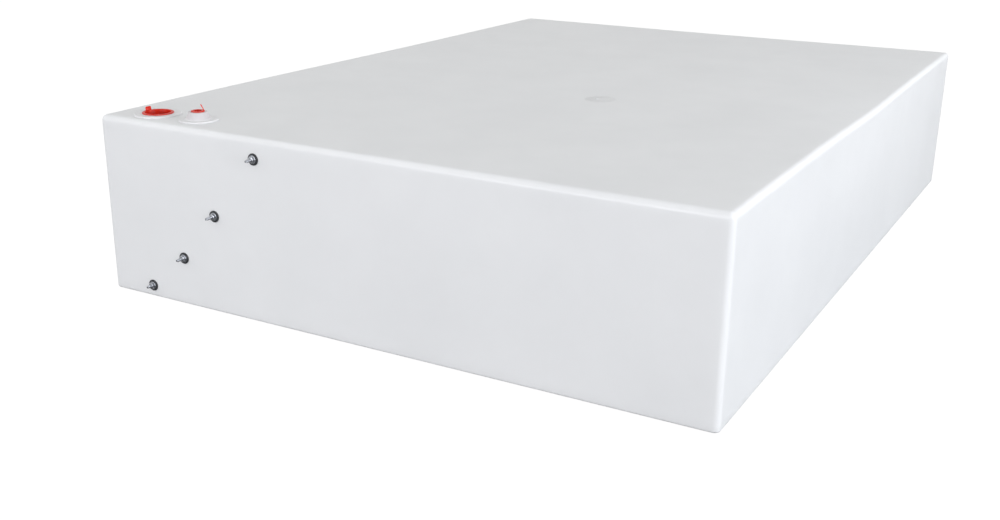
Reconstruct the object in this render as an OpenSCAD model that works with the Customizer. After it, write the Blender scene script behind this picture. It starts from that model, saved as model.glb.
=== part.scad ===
// Flat fresh water tank for a food truck.
// One rotomoulded polyethylene shell, spin-welded threaded ports closed by push-in plugs, a welded
// plug over the mould's vent hole, and four well-nut level probes rising across the front face.
// Millimetres. The origin is the centre of the underside. +X runs along the front face to the
// right, +Y runs from the front face to the back, and +Z is up.

/* [Tank] */
// Width of the front face
tank_w = 914.4; // [650:0.1:1400]
// Length from the front face to the back
tank_l = 1270; // [500:0.1:2000]
// Height
tank_h = 254; // [180:0.1:600]
// Thickness of the wall
wall = 6.35; // [4:0.05:9]
// Outer radius of the upright edges and the top edges
edge_r = 8; // [6.5:0.1:30]
// Outer radius of the edges round the underside
foot_r = 3.2; // [2:0.05:8]
// Inner radius of the upright edges and the top edges
inner_edge_r = 4; // [3:0.1:20]
// Inner radius of the edges round the floor
inner_foot_r = 3; // [1:0.1:3]

/* [Ports] */
// Diameter of the welding flange of the fill fitting
fill_flange_d = 63.5; // [56:0.1:90]
// Diameter of the welding flange of the vent fitting
vent_flange_d = 52; // [40:0.1:90]
// Diameter of the welding flange of the outlet and drain fittings
side_flange_d = 44.5; // [40:0.1:60]
// Thickness of a welding flange
flange_t = 2; // [1:0.1:5]
// Bore of the fill fitting, for 1 1/4 inch pipe thread
fill_bore_d = 38.9; // [30:0.1:42]
// Bore of the vent fitting, for 3/8 inch pipe thread
vent_bore_d = 14.7; // [10:0.1:18]
// Bore of the outlet and drain fittings, for 1/2 inch pipe thread
side_bore_d = 18.3; // [12:0.1:22]
// Wall of a fitting's sleeve around its bore
sleeve_wall = 5.5; // [3:0.1:7]
// Depth of a fitting's sleeve below the outside of the tank wall
sleeve_depth = 24; // [18:0.1:40]
// Height of the vent's conical hub above its flange
hub_h = 10; // [4:0.1:25]
// Taper of the hub, from its base radius to its top radius
hub_taper = 4; // [0:0.1:6]
// Gap from the left edge of the tank to the fill fitting's flange
fill_edge_gap = 34.9; // [20:0.1:120]
// Gap from the front face to the flange of the fill fitting
port_front_gap = 12.7; // [8:0.1:100]
// Gap between the fill and vent flanges
port_gap = 16.5; // [4:0.1:200]
// Gap between the underside's rounded edge and the flange of a side fitting
side_port_lift = 6.3; // [0.5:0.05:40]
// Distance of the outlet's centre from the front face
outlet_setback = 76.2; // [50:0.1:200]
// Gap between the outlet and drain flanges
side_port_gap = 19; // [4:0.1:200]

/* [Plugs] */
// How far a plug's flange reaches past the bore
plug_lip = 2.15; // [1:0.05:5]
// How far the small plugs' flanges reach past the bore
small_plug_lip = 1.8; // [1:0.05:4]
// Thickness of a plug's flange
plug_flange_t = 1.3; // [0.8:0.1:3]
// Wall of a plug's hollow stem
plug_wall = 1.4; // [0.8:0.1:2.5]
// Depth of the large plug's stem
plug_depth = 15; // [8:0.1:17]
// Depth of the small plugs' stems
small_plug_depth = 11; // [8:0.1:16]
// Amount a stem narrows from its mouth to its foot
plug_taper = 0.6; // [0:0.1:1.2]
// Clearance between a plug's stem and the bore
plug_clearance = 0.3; // [0.2:0.05:0.6]
// Thickness of a pull tab
tab_t = 1.2; // [0.8:0.1:2.5]
// Width of the fill plug's pull tab
fill_tab_w = 9.5; // [5:0.1:16]
// Length of the fill plug's pull tab
fill_tab_l = 5.5; // [4:0.1:16]
// Width of a small plug's pull tab
small_tab_w = 6; // [3:0.1:8]
// Length of a small plug's pull tab
small_tab_l = 10.3; // [4:0.1:16]
// Radius of the finger notch in the fill plug's flange
notch_r = 3; // [1:0.1:4]

/* [Mould vent] */
// Distance of the mould vent from the left edge
mould_vent_x = 538; // [200:0.1:620]
// Distance of the mould vent from the front face
mould_vent_y = 486; // [150:0.1:490]
// Diameter of the dished seat around the mould vent
mould_vent_d = 46; // [30:0.1:70]
// Depth of the dished seat
mould_vent_dish = 1; // [0.5:0.1:2]
// Diameter of the vent hole that the plug closes
mould_vent_hole_d = 12.7; // [8:0.1:20]
// Diameter of the plug's moulding nub
nub_d = 6; // [3:0.1:10]
// Distance of the nub to the left of the plug's centre
nub_offset = 6; // [0:0.1:12]

/* [Level probes] */
// Distance of each probe from the left edge, lowest probe first
probe_x = [76, 139.3, 199.8, 273.1];
// Height of each probe, as a share of the way from the lowest probe to the highest
probe_level = [0, 0.2464, 0.5789, 1];
// Gap between the rounded foot and the flange of the lowest probe
probe_lift = 5.6; // [0.5:0.1:40]
// Distance of the highest probe below the top of the tank
probe_top_gap = 28.2; // [26:0.1:80]
// Diameter of the hole through the wall
probe_hole_d = 9.5; // [8:0.1:12]
// Diameter of the rubber flange
rubber_flange_d = 16; // [14:0.1:20]
// Thickness of the rubber flange
rubber_flange_t = 1.8; // [1:0.1:4]
// Length of the rubber sleeve inside the tank
rubber_reach = 12; // [10:0.1:20]
// Radius of the ring that the squeezed rubber makes behind the wall
bulge_r = 3.2; // [2:0.1:4]
// Diameter over the stud's thread
stud_d = 4.166; // [3.5:0.001:6]
// Pitch diameter of the stud's thread, where a nut or insert holds it
stud_pitch_d = 3.65; // [3:0.01:5]
// Length of each stud outside the tank wall, lowest probe first
stud_out = [12.5, 15, 16.5, 15];
// Length of the stud past the end of the rubber
stud_tip = 5; // [2:0.1:40]
// Diameter of the brass insert in the rubber
insert_d = 6.4; // [5.5:0.1:7]
// Length of the brass insert
insert_l = 6; // [4:0.1:8]
// Diameter of the insert's rim
insert_rim_d = 8.4; // [7:0.1:9]
// Thickness of the insert's rim
insert_rim_t = 1; // [0.6:0.1:2]
// Diameter of the flat washer
washer_d = 11.1; // [10:0.1:14]
// Thickness of the flat washer
washer_t = 0.8; // [0.6:0.1:2]
// Diameter of the split lock washer
lock_washer_d = 7.9; // [6.5:0.1:9]
// Thickness of the split lock washer
lock_washer_t = 0.8; // [0.6:0.1:2]
// Width of the split
lock_washer_split = 0.9; // [0.4:0.1:2]
// Distance across the nut's flats
nut_af = 7.94; // [7:0.01:12]
// Thickness of the nut
nut_t = 2.4; // [2:0.1:6]

/* [Hidden] */

$fn = 64;
through = 1;          // how far a cutting tool runs past the face it cuts
seat_gap = 0.1;       // gap round a piece that is pushed or screwed into another
weld_gap = 0.3;       // gap between a fitting's sleeve and the hole in the wall
disc_share = 0.6;     // thickness of the mould vent's disc, as a share of its seat's depth
bulge_place = 0.4;    // where the squeezed rubber swells, as a share of its reach past the wall
bulge_sunk = 0.4;     // share of the swelling's radius that lies inside the rubber sleeve
fill_tab_angle = 172; // where the fill plug's tab stands on its rim
notch_angle = -65;    // where the fill plug's notch is cut
small_tab_angle = 45; // where a small plug's tab stands on its rim
fill_tab_lean = -8;   // the fill plug's tab leans away from its centre
small_tab_lean = 25;  // a small plug's tab leans over its centre

PE = [0.93, 0.94, 0.94];
RED = [0.83, 0.2, 0.13];
RUBBER = [0.1, 0.1, 0.11];
STEEL = [0.72, 0.73, 0.75];
BRASS = [0.75, 0.62, 0.32];

// places on the tank
left_x = -tank_w / 2;
front_y = -tank_l / 2;
fill_at = [left_x + fill_edge_gap + fill_flange_d / 2,
    front_y + port_front_gap + fill_flange_d / 2, tank_h];
vent_at = fill_at + [(fill_flange_d + vent_flange_d) / 2 + port_gap, 0, 0];
side_port_z = foot_r + side_port_lift + side_flange_d / 2;
outlet_at = [left_x, front_y + outlet_setback, side_port_z];
drain_at = outlet_at + [0, side_flange_d + side_port_gap, 0];
mould_vent_at = [left_x + mould_vent_x, front_y + mould_vent_y, tank_h];
probe_low_z = foot_r + probe_lift + rubber_flange_d / 2;
function probe_at(i) = [left_x + probe_x[i], front_y,
    probe_low_z + probe_level[i] * (tank_h - probe_low_z - probe_top_gap)];

// levels along a probe, measured outwards from the outside of the wall
washer_at = rubber_flange_t;
lock_washer_at = washer_at + washer_t;
nut_at = lock_washer_at + lock_washer_t;
nut_face = nut_at + nut_t;
rubber_end = -wall - rubber_reach;

// Half of an edge's section: r wide and h tall, with its outer corners rounded by top_r and foot.
module edge_section(r, h, top_r, foot) {
    translate([0, foot]) square([r, h - top_r - foot]);
    if (r > foot) square([r - foot, foot]);
    if (r > top_r) translate([0, h - top_r]) square([r - top_r, top_r]);
    translate([r - foot, foot]) intersection() {
        circle(foot);
        translate([0, -foot]) square(foot);
    }
    translate([r - top_r, h - top_r]) intersection() {
        circle(top_r);
        square(top_r);
    }
}

// A box with rounded upright edges of radius r, top edges of top_r and bottom edges of foot.
module rounded_block(w, l, h, r, top_r, foot) {
    half = [w / 2 - r, l / 2 - r];
    translate([-half.x, -half.y, 0]) cube([2 * half.x, 2 * half.y, h]);
    for (side = [0, 1]) rotate(180 * side) {
        translate([half.x, half.y, 0]) rotate([90, 0, 0])
            linear_extrude(2 * half.y) edge_section(r, h, top_r, foot);
        translate([-half.x, half.y, 0]) rotate([90, 0, 90])
            linear_extrude(2 * half.x) edge_section(r, h, top_r, foot);
        translate([half.x, half.y, 0])
            rotate_extrude(angle = 90) edge_section(r, h, top_r, foot);
        translate([-half.x, half.y, 0]) rotate(90)
            rotate_extrude(angle = 90) edge_section(r, h, top_r, foot);
    }
}

// Turns a piece built along +Z so that it points out of the left wall.
module out_of_left(at) {
    translate(at) rotate([0, -90, 0]) children();
}

// Turns a piece built along +Z so that it points out of the front wall.
module out_of_front(at) {
    translate(at) rotate([90, 0, 0]) children();
}

// Radius of the hole in the wall for a fitting of this bore.
function port_hole_r(bore_d) = bore_d / 2 + sleeve_wall + weld_gap;

module port_hole(bore_d) {
    translate([0, 0, -wall - through]) cylinder(h = wall + 2 * through, r = port_hole_r(bore_d));
}

// A weld-in threaded fitting: a flange on the wall, a sleeve through it and a hub on top.
module fitting(bore_d, flange_d, hub, taper) {
    sleeve_r = bore_d / 2 + sleeve_wall;
    color(PE) difference() {
        union() {
            cylinder(h = flange_t, d = flange_d);
            translate([0, 0, -sleeve_depth]) cylinder(h = sleeve_depth, r = sleeve_r);
            if (hub > 0) translate([0, 0, flange_t])
                cylinder(h = hub, r1 = sleeve_r + taper, r2 = sleeve_r);
        }
        translate([0, 0, -sleeve_depth - through])
            cylinder(h = sleeve_depth + flange_t + hub + 2 * through, d = bore_d);
    }
}

// A hollow push-in plug with a flange that sits at z = 0 and a pull tab on its rim.
module plug(bore_d, lip, depth, tab_w, tab_l, tab_angle, lean, notch) {
    flange_r = bore_d / 2 + lip;
    stem_r = bore_d / 2 - plug_clearance;
    cup_r = stem_r - plug_wall;
    color(RED) difference() {
        union() {
            cylinder(h = plug_flange_t, r = flange_r);
            translate([0, 0, -depth]) cylinder(h = depth, r1 = stem_r - plug_taper, r2 = stem_r);
            rotate(tab_angle) translate([flange_r, 0, plug_flange_t / 2]) rotate([0, -lean, 0])
                translate([-tab_t, -tab_w / 2, 0]) cube([tab_t, tab_w, tab_l]);
        }
        translate([0, 0, plug_wall - depth])
            cylinder(h = depth, r1 = cup_r - plug_taper, r2 = cup_r);
        cylinder(h = plug_flange_t + through, r = cup_r);
        if (notch > 0) rotate(notch_angle) translate([flange_r, 0, -through])
            cylinder(h = plug_flange_t + 2 * through, r = notch);
    }
}

module tank_shell() {
    color(PE) difference() {
        rounded_block(tank_w, tank_l, tank_h, edge_r, edge_r, foot_r);
        translate([0, 0, wall]) rounded_block(tank_w - 2 * wall, tank_l - 2 * wall,
            tank_h - 2 * wall, inner_edge_r, inner_edge_r, inner_foot_r);
        translate(fill_at) port_hole(fill_bore_d);
        translate(vent_at) port_hole(vent_bore_d);
        out_of_left(outlet_at) port_hole(side_bore_d);
        out_of_left(drain_at) port_hole(side_bore_d);
        translate(mould_vent_at) {
            translate([0, 0, -mould_vent_dish])
                cylinder(h = mould_vent_dish + through, d = mould_vent_d);
            translate([0, 0, -wall - through])
                cylinder(h = wall + through, d = mould_vent_hole_d);
        }
        for (i = [0:3]) out_of_front(probe_at(i))
            translate([0, 0, -wall - through])
                cylinder(h = wall + 2 * through, d = probe_hole_d);
    }
}

module fill_fitting() {
    translate(fill_at) fitting(fill_bore_d, fill_flange_d, 0, 0);
}

module vent_fitting() {
    translate(vent_at) fitting(vent_bore_d, vent_flange_d, hub_h, hub_taper);
}

module outlet_fitting() {
    out_of_left(outlet_at) fitting(side_bore_d, side_flange_d, 0, 0);
}

module drain_fitting() {
    out_of_left(drain_at) fitting(side_bore_d, side_flange_d, 0, 0);
}

module fill_plug() {
    translate(fill_at + [0, 0, flange_t]) plug(fill_bore_d, plug_lip, plug_depth,
        fill_tab_w, fill_tab_l, fill_tab_angle, fill_tab_lean, notch_r);
}

module small_plug(bore_d, tab_angle) {
    plug(bore_d, small_plug_lip, small_plug_depth, small_tab_w, small_tab_l, tab_angle,
        small_tab_lean, 0);
}

module vent_plug() {
    translate(vent_at + [0, 0, flange_t + hub_h]) small_plug(vent_bore_d, small_tab_angle);
}

module outlet_plug() {
    out_of_left(outlet_at) translate([0, 0, flange_t]) small_plug(side_bore_d, small_tab_angle);
}

module drain_plug() {
    out_of_left(drain_at) translate([0, 0, flange_t]) small_plug(side_bore_d, -small_tab_angle);
}

// A thin disc welded into the dished seat, with a shank in the vent hole and a moulding nub.
module mould_vent_plug() {
    disc_t = mould_vent_dish * disc_share;
    color(PE) translate(mould_vent_at + [0, 0, -mould_vent_dish]) {
        cylinder(h = disc_t, d = mould_vent_d - 2 * weld_gap);
        translate([0, 0, mould_vent_dish - wall])
            cylinder(h = wall - mould_vent_dish, d = mould_vent_hole_d - 2 * weld_gap);
        translate([-nub_offset, 0, 0]) cylinder(h = disc_t + mould_vent_dish, d = nub_d);
    }
}

// Stud: the thread is at its pitch diameter where the nut, rubber and insert hold it.
module probe_stud(i) {
    color(STEEL) out_of_front(probe_at(i)) {
        translate([0, 0, rubber_end - stud_tip])
            cylinder(h = nut_face - rubber_end + stud_tip, d = stud_pitch_d);
        translate([0, 0, nut_face]) cylinder(h = stud_out[i] - nut_face, d = stud_d);
    }
}

// Well nut: a rubber sleeve through the wall that swells into a ring behind it.
module probe_well_nut(i) {
    sleeve_r = probe_hole_d / 2 - seat_gap;
    color(RUBBER) out_of_front(probe_at(i)) difference() {
        union() {
            cylinder(h = rubber_flange_t, d = rubber_flange_d);
            translate([0, 0, rubber_end]) cylinder(h = -rubber_end, r = sleeve_r);
            translate([0, 0, -wall - rubber_reach * bulge_place]) rotate_extrude()
                translate([sleeve_r - bulge_r * bulge_sunk, 0]) circle(bulge_r);
        }
        translate([0, 0, rubber_end - through])
            cylinder(h = rubber_flange_t - rubber_end + 2 * through, d = stud_pitch_d + 2 * seat_gap);
        translate([0, 0, rubber_end - through])
            cylinder(h = insert_l + through, d = insert_d + 2 * seat_gap);
    }
}

module probe_insert(i) {
    color(BRASS) out_of_front(probe_at(i)) difference() {
        union() {
            translate([0, 0, rubber_end]) cylinder(h = insert_l, d = insert_d);
            translate([0, 0, rubber_end - insert_rim_t]) cylinder(h = insert_rim_t, d = insert_rim_d);
        }
        translate([0, 0, rubber_end - insert_rim_t - through])
            cylinder(h = insert_l + insert_rim_t + 2 * through, d = stud_pitch_d + 2 * seat_gap);
    }
}

// A flat ring on the stud, from level z.
module ring(z, t, d) {
    translate([0, 0, z]) difference() {
        cylinder(h = t, d = d);
        translate([0, 0, -through]) cylinder(h = t + 2 * through, d = stud_pitch_d + 2 * seat_gap);
    }
}

module probe_washer(i) {
    color(STEEL) out_of_front(probe_at(i)) ring(washer_at, washer_t, washer_d);
}

module probe_lock_washer(i) {
    color(STEEL) out_of_front(probe_at(i)) difference() {
        ring(lock_washer_at, lock_washer_t, lock_washer_d);
        translate([0, -lock_washer_split / 2, lock_washer_at - through])
            cube([lock_washer_d, lock_washer_split, lock_washer_t + 2 * through]);
    }
}

module probe_nut(i) {
    color(STEEL) out_of_front(probe_at(i)) difference() {
        translate([0, 0, nut_at]) cylinder(h = nut_t, d = nut_af / cos(30), $fn = 6);
        translate([0, 0, nut_at - through])
            cylinder(h = nut_t + 2 * through, d = stud_pitch_d + 2 * seat_gap);
    }
}

tank_shell();
fill_fitting();
fill_plug();
vent_fitting();
vent_plug();
outlet_fitting();
outlet_plug();
drain_fitting();
drain_plug();
mould_vent_plug();
for (i = [0:3]) {
    probe_stud(i);
    probe_well_nut(i);
    probe_insert(i);
    probe_washer(i);
    probe_lock_washer(i);
    probe_nut(i);
}
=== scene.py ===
"""A flat fresh water tank for a food truck: the visible model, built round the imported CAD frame.

Lengths in the classes are in millimetres and become metres when a mesh is made. The frame is the
CAD's: the origin is the centre of the underside, +X runs to the right along the front face, +Y runs
from the front face to the back and +Z is up.
"""

import logging
import math
from collections.abc import Callable, Sequence
from dataclasses import dataclass, field
from enum import Enum
from functools import cache

import bpy
import numpy as np
from mathutils import Matrix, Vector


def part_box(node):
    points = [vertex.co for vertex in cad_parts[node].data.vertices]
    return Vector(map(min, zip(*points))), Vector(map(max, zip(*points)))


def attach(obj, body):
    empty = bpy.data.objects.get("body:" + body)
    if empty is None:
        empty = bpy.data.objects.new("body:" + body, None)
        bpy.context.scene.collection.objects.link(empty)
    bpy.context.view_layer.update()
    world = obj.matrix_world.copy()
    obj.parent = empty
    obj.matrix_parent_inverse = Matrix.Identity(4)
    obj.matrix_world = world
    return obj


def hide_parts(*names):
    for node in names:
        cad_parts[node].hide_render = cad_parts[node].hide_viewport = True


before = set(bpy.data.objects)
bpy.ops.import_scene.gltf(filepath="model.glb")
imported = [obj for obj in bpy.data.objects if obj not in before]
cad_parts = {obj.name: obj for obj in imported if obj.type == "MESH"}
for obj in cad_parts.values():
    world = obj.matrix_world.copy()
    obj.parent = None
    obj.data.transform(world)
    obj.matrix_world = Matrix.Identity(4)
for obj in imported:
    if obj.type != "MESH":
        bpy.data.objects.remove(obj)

Array = np.ndarray
MM = 0.001
FULL_TURN = 2 * math.pi
WELD_MM = 2e-4
SLACK = 1e-6
LOG = logging.getLogger("fresh_water_tank")
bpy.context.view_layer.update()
WALL = 6.35


# ---------- surfaces


class Facing(Enum):
    """Which way a piece built along +Z points on the tank: the columns are its x, y and z axes."""

    UP = ((1, 0, 0), (0, 1, 0), (0, 0, 1))
    FRONT = ((1, 0, 0), (0, 0, -1), (0, 1, 0))
    LEFT = ((0, 0, -1), (0, 1, 0), (1, 0, 0))


@dataclass(frozen=True)
class Seat:
    """A place on the tank: the point on the outside of the wall, and the way out from it."""

    at: tuple[float, float, float]
    facing: Facing

    def place(self, points: Array) -> Array:
        """Turns points by the facing, then moves them to the seat: p = M q + at."""
        return points @ np.array(self.facing.value, float).T + np.array(self.at)


WORLD = Seat((0.0, 0.0, 0.0), Facing.UP)


@dataclass
class Surface:
    """A sheet of four-cornered cells: points (n, 3) and corner numbers (m, 4)."""

    points: Array
    cells: Array

    def flipped(self) -> "Surface":
        """The same sheet, facing the other way."""
        return Surface(self.points, self.cells[:, ::-1])

    def moved(self, offset: Sequence[float]) -> "Surface":
        """The same sheet, shifted by an offset."""
        return Surface(self.points + np.asarray(offset, float), self.cells)


def joined(sheets: Sequence[Surface]) -> Surface:
    """Puts sheets into one list of points and cells.

    Args:
        sheets: The sheets, each with its own numbering.

    Returns:
        One sheet, with every cell's corner numbers raised by the points before it.
    """
    starts = np.cumsum([0] + [len(s.points) for s in sheets[:-1]])
    cells = [s.cells + start for s, start in zip(sheets, starts, strict=True)]
    return Surface(np.concatenate([s.points for s in sheets]), np.concatenate(cells))


def cells_of(rows: int, columns: int, round_rows: bool = False, round_columns: bool = False) -> Array:
    """Corner numbers of a grid's cells: (i, j), (i, j+1), (i+1, j+1), (i+1, j).

    Args:
        rows: Number of rows of points.
        columns: Number of points in a row.
        round_rows: The last row joins the first.
        round_columns: The last column joins the first.

    Returns:
        An array of shape (cell rows, cell columns, 4).
    """
    i, j = np.meshgrid(np.arange(rows if round_rows else rows - 1),
                       np.arange(columns if round_columns else columns - 1), indexing="ij")
    i_next, j_next = (i + 1) % rows, (j + 1) % columns
    return np.stack([i * columns + j, i * columns + j_next,
                     i_next * columns + j_next, i_next * columns + j], axis=-1)


def sheet_of(grid: Array, round_rows: bool = False, round_columns: bool = False) -> Surface:
    """A grid of points (rows, columns, 3) as one sheet."""
    cells = cells_of(*grid.shape[:2], round_rows, round_columns)
    return Surface(grid.reshape(-1, 3), cells.reshape(-1, 4))


def turn_angles(count: int) -> Array:
    """Equal angles round a full turn, without the last one that repeats the first."""
    return np.arange(count) * FULL_TURN / count


def polar(radius: Array, angle: Array, height: Array) -> Array:
    """Points x = r cos a, y = r sin a, z = h, stacked on a last axis."""
    radius, angle, height = np.broadcast_arrays(radius, angle, height)
    return np.stack([radius * np.cos(angle), radius * np.sin(angle), height], axis=-1)


def lathe(profile: Array, angles: Array, closed: bool = True,
          swell: Callable[[Array, Array, Array], tuple[Array, Array]] | None = None) -> Surface:
    """Turns a profile round the z axis: each point (r, h) becomes a ring r cos a, r sin a, h.

    Args:
        profile: Points (radius, height), counter-clockwise round the material.
        angles: Angles of the ring's points, over a full turn.
        closed: The profile's last point joins its first.
        swell: Given radius, angle and height as grids, returns the radius and height to use.

    Returns:
        A sheet that faces away from the material.
    """
    radius, height = np.asarray(profile, float).T
    radius, angle, height = np.broadcast_arrays(radius[:, None], angles[None, :], height[:, None])
    if swell is not None:
        radius, height = swell(radius, angle, height)
    return sheet_of(polar(radius, angle, height), round_rows=closed, round_columns=True)


def filleted(corners: Sequence[Sequence[float]], steps: int = 4) -> Array:
    """Rounds the corners of a closed outline: each becomes an arc that touches both of its sides.

    Args:
        corners: Rows (radius, height, fillet) in order, the fillet zero to keep the corner sharp.
        steps: Straight pieces in each arc.

    Returns:
        The outline's points (radius, height).
    """
    points, fillets = np.asarray(corners, float)[:, :2], np.asarray(corners, float)[:, 2]
    made: list[Array] = []
    for here, before, after, radius in zip(
            points, np.roll(points, 1, 0), np.roll(points, -1, 0), fillets, strict=True):
        if radius <= 0:
            made.append(here[None])
            continue
        back, on = before - here, after - here
        back_l, on_l = np.linalg.norm(back), np.linalg.norm(on)
        back, on = back / back_l, on / on_l
        half = math.acos(float(np.clip(back @ on, -1, 1))) / 2
        reach = min(radius / math.tan(half), 0.49 * back_l, 0.49 * on_l)
        used = reach * math.tan(half)
        middle = here + (back + on) / np.linalg.norm(back + on) * used / math.sin(half)
        first, last = here + back * reach - middle, here + on * reach - middle
        spread = math.acos(float(np.clip(first @ last / used**2, -1, 1)))
        share = np.linspace(0, 1, steps + 1)[:, None]
        arc = (np.sin((1 - share) * spread) * first + np.sin(share * spread) * last) / math.sin(spread)
        made.append(middle + arc)
    return np.concatenate(made)


@dataclass(frozen=True)
class Thread:
    """A screw thread on a cylinder between two heights."""

    crest: float
    root: float
    end: float
    pitch: float
    low: float
    high: float
    chamfer: float
    columns: int = 48
    knots: tuple[float, ...] = (0.12, 0.44, 0.56, 0.88)
    depths: tuple[float, ...] = (0.0, 1.0, 1.0, 0.0)

    def sheet(self) -> Surface:
        """The threaded cylinder, open at both ends, facing outwards.

        The rows follow the helix: h = low + pitch (phase + a / turn), held between low and high, and
        r goes from crest to root with the phase. Near each end r leans towards the end radius
        along a cone, so that both end rings are plain circles.

        Returns:
            A sheet that faces away from the axis.
        """
        turns = math.ceil((self.high - self.low) / self.pitch) + 1
        phase = (np.arange(-2, turns)[:, None] + np.array(self.knots)).ravel()
        depth = np.tile(self.depths, turns + 2)
        angle = np.linspace(0, FULL_TURN, self.columns + 1)
        height = self.low + self.pitch * (phase[:, None] + angle / FULL_TURN)
        height = np.clip(height, self.low, self.high)
        radius = self.crest + (self.root - self.crest) * depth[:, None]
        near = np.minimum(height - self.low, self.high - height) / self.chamfer
        outwards = 1.0 if self.end > self.crest else -1.0
        cone = self.end - outwards * abs(self.crest - self.end + (self.root - self.crest)) * near
        radius = np.maximum(radius, cone) if outwards > 0 else np.minimum(radius, cone)
        return sheet_of(polar(radius, angle, height))


def swept_ring(section: Array, radius: float, start: float, stop: float, steps: int,
               rise: float) -> Surface:
    """Carries a closed section round part of a turn and closes its two ends with a fan.

    A point (r, h) of the section goes to angle a = start + t (stop - start), radius R + r and
    height h + rise (t - 1/2).

    Args:
        section: Points (radius, height) from the ring's centreline, counter-clockwise.
        radius: Radius of the centreline.
        start: First angle.
        stop: Last angle.
        steps: Straight pieces along the ring.
        rise: Height gained along the ring.

    Returns:
        A closed sheet.
    """
    share = np.linspace(0, 1, steps + 1)
    angle = start + share * (stop - start)
    grid = polar(radius + section[:, 0][:, None], angle[None, :],
                 section[:, 1][:, None] + rise * (share - 0.5)[None, :])
    sides = sheet_of(grid, round_rows=True)
    points, cells = [sides.points], [sides.cells]
    count = len(section)
    for column, turn in ((0, 1), (steps, -1)):
        rim = np.arange(count) * (steps + 1) + column
        hub = np.full(count, sum(len(p) for p in points))
        points.append(grid[:, column].mean(0)[None])
        cells.append(np.stack([rim, np.roll(rim, -1), hub, hub][::turn], axis=-1))
    return Surface(np.concatenate(points), np.concatenate(cells))


def smoothstep(x: Array, low: float, high: float) -> Array:
    """Zero below low, one above high and 3 t^2 - 2 t^3 between them."""
    t = np.clip((x - low) / (high - low), 0, 1)
    return t * t * (3 - 2 * t)


def hill(x: Array, middle: float, width: float) -> Array:
    """A smooth hill exp(-((x - middle) / width)^2), one at its middle."""
    return np.exp(-(((x - middle) / width) ** 2))


# ---------- finishes


class Shader:
    """Adds and links the nodes of one material or surround."""

    def __init__(self, owner: bpy.types.Material | bpy.types.World) -> None:
        """Empties the node tree of a new material or world."""
        self.owner = owner
        owner.use_nodes = True
        self.tree = owner.node_tree
        self.tree.nodes.clear()

    def add(self, kind: str, inputs: dict | None = None, **settings: object) -> bpy.types.Node:
        """Adds a node, sets its properties and fills its inputs.

        Args:
            kind: The node's type, without the ShaderNode prefix.
            inputs: Socket name or number to a value, or to the output socket that feeds it.
            settings: Properties of the node.

        Returns:
            The node.
        """
        node = self.tree.nodes.new("ShaderNode" + kind)
        for key, value in settings.items():
            setattr(node, key, value)
        for key, value in (inputs or {}).items():
            if isinstance(value, bpy.types.NodeSocket):
                self.tree.links.new(value, node.inputs[key])
            else:
                node.inputs[key].default_value = value
        return node

    def ramp(self, value: bpy.types.NodeSocket, low: float, high: float, to_low: float = 0.0,
             to_high: float = 1.0) -> bpy.types.NodeSocket:
        """Maps a value from low..high to to_low..to_high, held at the ends."""
        return self.add("MapRange", {0: value, 1: low, 2: high, 3: to_low, 4: to_high}).outputs[0]

    def mix(self, share: bpy.types.NodeSocket | float, first: object, second: object,
            blend: str = "MIX") -> bpy.types.NodeSocket:
        """Mixes two colours by a share."""
        made = self.add("Mix", {0: share, 6: first, 7: second}, data_type="RGBA", blend_type=blend)
        return made.outputs[2]

    def cover(self, under: object, value: bpy.types.NodeSocket, low: float, high: float, over: object,
              most: float = 1.0) -> bpy.types.NodeSocket:
        """Lays a colour over another where a value is high, by a share of 0..most."""
        return self.mix(self.ramp(value, low, high, 0.0, most), under, over)

    def math(self, operation: str, first: object, second: object = 0.0) -> bpy.types.NodeSocket:
        """One step of arithmetic on two values."""
        return self.add("Math", {0: first, 1: second}, operation=operation).outputs[0]

    def noise(self, place: bpy.types.NodeSocket, scale: float, detail: float = 3.0,
              rough: float = 0.5) -> bpy.types.NodeSocket:
        """Cloudy noise with features about 1 / scale across."""
        made = self.add("TexNoise", {"Vector": place, "Scale": scale, "Detail": detail,
                                     "Roughness": rough})
        return made.outputs[0]

    def bump(self, height: bpy.types.NodeSocket, depth: float, strength: float = 1.0,
             under: bpy.types.NodeSocket | None = None) -> bpy.types.NodeSocket:
        """Turns a height of 0..1 into a tilted normal, depth metres from 0 to 1."""
        inputs = {"Strength": strength, "Distance": depth, "Height": height}
        if under is not None:
            inputs["Normal"] = under
        return self.add("Bump", inputs).outputs[0]

    def object_place(self) -> bpy.types.NodeSocket:
        """Object coordinates, in metres."""
        return self.add("TexCoord").outputs["Object"]

    def own_place(self) -> bpy.types.NodeSocket:
        """The piece's own coordinates, in millimetres along its own axes."""
        return self.add("Attribute", attribute_name="own_place").outputs["Vector"]

    def axis_distance(self) -> bpy.types.NodeSocket:
        """Distance from the piece's own axis, in millimetres."""
        flat = self.add("VectorMath", {0: self.own_place(), 1: (1.0, 1.0, 0.0)}, operation="MULTIPLY")
        return self.add("VectorMath", {0: flat.outputs[0]}, operation="LENGTH").outputs["Value"]

    def close(self, inputs: dict) -> bpy.types.Material:
        """Adds the main shader with these inputs and the output.

        Args:
            inputs: Socket name of the main shader to a value or a socket.

        Returns:
            The finished material.
        """
        main = self.add("BsdfPrincipled", inputs)
        self.add("OutputMaterial", {"Surface": main.outputs[0]})
        return self.owner


Colour = tuple[float, float, float, float]


def colour(red: float, green: float, blue: float) -> Colour:
    """An opaque colour."""
    return (red, green, blue, 1.0)


def new_look(name: str) -> tuple[Shader, bpy.types.NodeSocket]:
    """The shader of a new material, and its object coordinates."""
    made = Shader(bpy.data.materials.new(name + "_look"))
    return made, made.object_place()


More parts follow.
